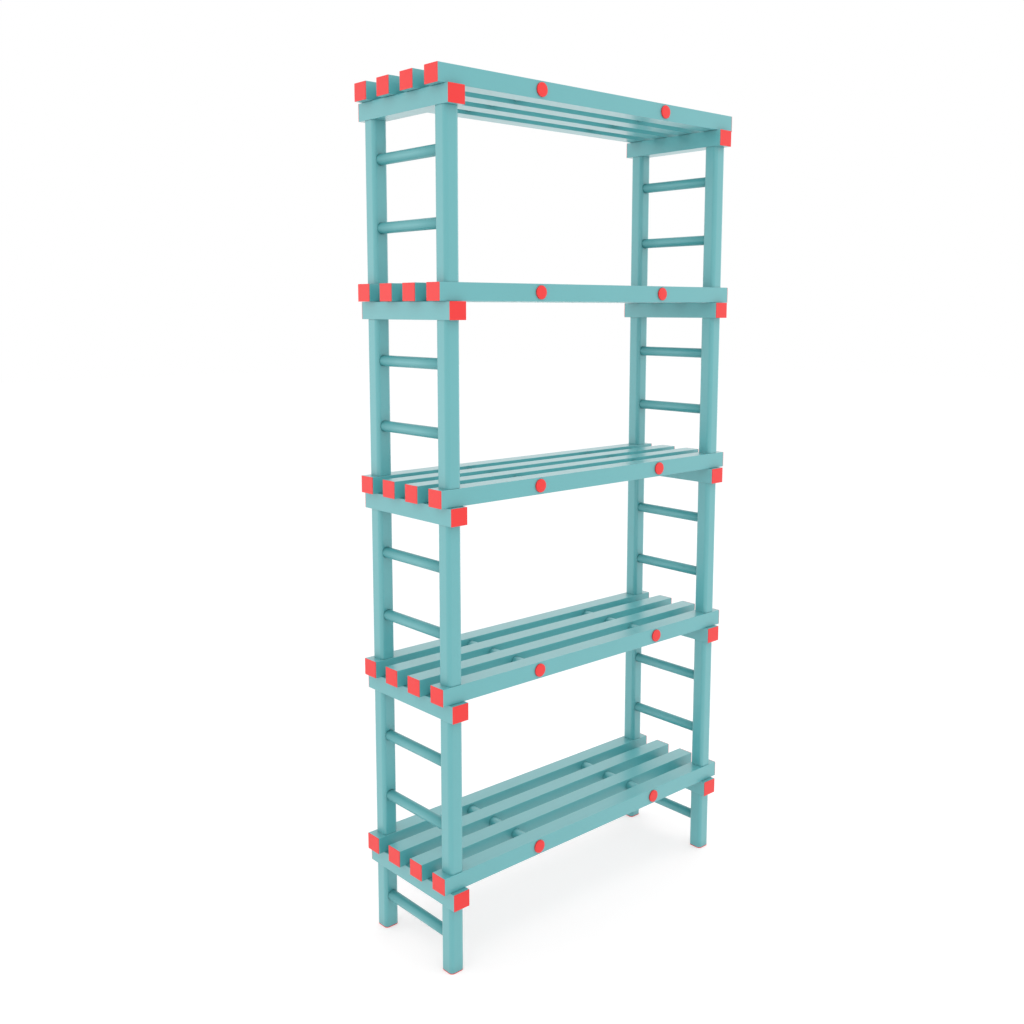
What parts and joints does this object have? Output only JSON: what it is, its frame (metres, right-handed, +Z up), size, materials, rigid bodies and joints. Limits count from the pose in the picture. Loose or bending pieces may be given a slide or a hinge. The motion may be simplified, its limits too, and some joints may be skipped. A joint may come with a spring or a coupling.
{
  "type": "plastic shelving unit",
  "caption": "Tall free-standing plastic shelving unit with open slatted decks on square posts, ladder rungs at both ends and bright push-in end caps.",
  "frame": {"origin": "on the floor, under the middle of the unit", "axes": "+Z up, +X along the slats to the right seen from the front, -Y towards the front"},
  "size_m": [0.9, 0.3014, 1.8573],
  "materials": {
    "teal_plastic": "satin",
    "red_plastic": "satin"
  },
  "bodies": {
    "root": {"deck_1_slat_front": "teal_plastic", "deck_1_slat_middle_1": "teal_plastic", "deck_1_slat_middle_2": "teal_plastic", "deck_1_slat_rear": "teal_plastic", "deck_1_crossbar_left": "teal_plastic", "deck_1_crossbar_right": "teal_plastic", "deck_1_tie_rod_left": "teal_plastic", "deck_1_tie_rod_right": "teal_plastic", "deck_2_slat_front": "teal_plastic", "deck_2_slat_middle_1": "teal_plastic", "deck_2_slat_middle_2": "teal_plastic", "deck_2_slat_rear": "teal_plastic", "deck_2_crossbar_left": "teal_plastic", "deck_2_crossbar_right": "teal_plastic", "deck_2_tie_rod_left": "teal_plastic", "deck_2_tie_rod_right": "teal_plastic", "deck_3_slat_front": "teal_plastic", "deck_3_slat_middle_1": "teal_plastic", "deck_3_slat_middle_2": "teal_plastic", "deck_3_slat_rear": "teal_plastic", "deck_3_crossbar_left": "teal_plastic", "deck_3_crossbar_right": "teal_plastic", "deck_3_tie_rod_left": "teal_plastic", "deck_3_tie_rod_right": "teal_plastic", "deck_4_slat_front": "teal_plastic", "deck_4_slat_middle_1": "teal_plastic", "deck_4_slat_middle_2": "teal_plastic", "deck_4_slat_rear": "teal_plastic", "deck_4_crossbar_left": "teal_plastic", "deck_4_crossbar_right": "teal_plastic", "deck_4_tie_rod_left": "teal_plastic", "deck_4_tie_rod_right": "teal_plastic", "deck_5_slat_front": "teal_plastic", "deck_5_slat_middle_1": "teal_plastic", "deck_5_slat_middle_2": "teal_plastic", "deck_5_slat_rear": "teal_plastic", "deck_5_crossbar_left": "teal_plastic", "deck_5_crossbar_right": "teal_plastic", "deck_5_tie_rod_left": "teal_plastic", "deck_5_tie_rod_right": "teal_plastic", "leg_front_left": "teal_plastic", "leg_front_right": "teal_plastic", "leg_rear_left": "teal_plastic", "leg_rear_right": "teal_plastic", "bay_1_post_front_left": "teal_plastic", "bay_1_post_front_right": "teal_plastic", "bay_1_post_rear_left": "teal_plastic", "bay_1_post_rear_right": "teal_plastic", "bay_2_post_front_left": "teal_plastic", "bay_2_post_front_right": "teal_plastic", "bay_2_post_rear_left": "teal_plastic", "bay_2_post_rear_right": "teal_plastic", "bay_3_post_front_left": "teal_plastic", "bay_3_post_front_right": "teal_plastic", "bay_3_post_rear_left": "teal_plastic", "bay_3_post_rear_right": "teal_plastic", "bay_4_post_front_left": "teal_plastic", "bay_4_post_front_right": "teal_plastic", "bay_4_post_rear_left": "teal_plastic", "bay_4_post_rear_right": "teal_plastic"}
  },
  "joints": []
}
